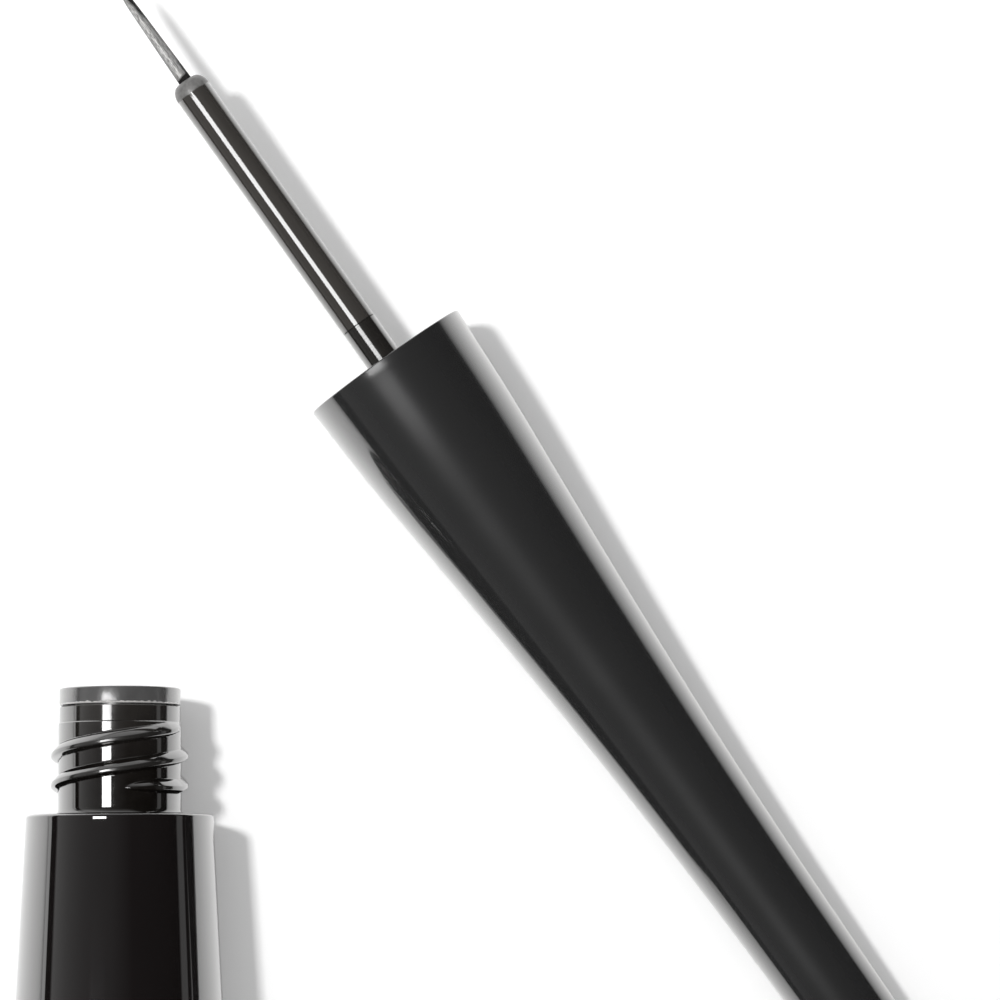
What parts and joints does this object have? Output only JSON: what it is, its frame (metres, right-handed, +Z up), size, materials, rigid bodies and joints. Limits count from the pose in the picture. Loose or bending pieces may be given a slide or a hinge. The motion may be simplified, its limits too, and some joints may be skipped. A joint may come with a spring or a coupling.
{
  "type": "liquid eyeliner bottle",
  "caption": "Slim tapered bottle with a two-start screw neck and wiper, lying beside its flared handle with a brush-tipped wand.",
  "frame": {"origin": "middle of the footprint, on the table that both pieces lie on", "axes": "+Z up from the table, +Y the long way, from the bottle's base towards its mouth, +X to the right of the bottle"},
  "size_m": [0.0874, 0.124, 0.0218],
  "materials": {
    "gloss_black_shell": "mirror-smooth moulded black plastic",
    "gloss_black_neck": "glossy moulded black plastic",
    "satin_black_handle": "satin soft-touch black coating",
    "stem_brown_black": "polished brown-black plastic rod",
    "wiper_grey": "semi-matte soft plastic, grey with a film of liquid",
    "washer_foam": "white foamed liner",
    "cap_moulded_black": "plain moulded black plastic",
    "ball_steel": "polished stainless ball",
    "bristle_grey": "fine pale nylon bristles, stained dark near the point"
  },
  "bodies": {
    "bottle": {"bottle_sleeve": "gloss_black_shell", "ink_vial": "gloss_black_neck", "base_disc": "gloss_black_shell", "wiper": "wiper_grey"},
    "ball": {"mixing_ball": "ball_steel"},
    "washer": {"seal_washer": "washer_foam"},
    "wand": {"handle": "satin_black_handle", "inner_cap": "cap_moulded_black", "stem": "stem_brown_black", "brush_tuft": "bristle_grey"}
  },
  "joints": [
    {"name": "ball_roll", "type": "slide", "parent": "bottle", "child": "ball", "axis": [0, -0.9986, 0.0522], "range_m": [0, 0.0375]},
    {"name": "wand_draw", "type": "slide", "parent": "bottle", "child": "washer", "axis": [-0.5729, 0.8182, 0.0481], "range_m": [0, 0.0546]},
    {"name": "wand_turn", "type": "hinge", "parent": "washer", "child": "wand", "pos_m": [-0.00848, 0.02667, 0.0081], "axis": [-0.5729, 0.8182, 0.0481], "range_deg": [0, 400]}
  ]
}
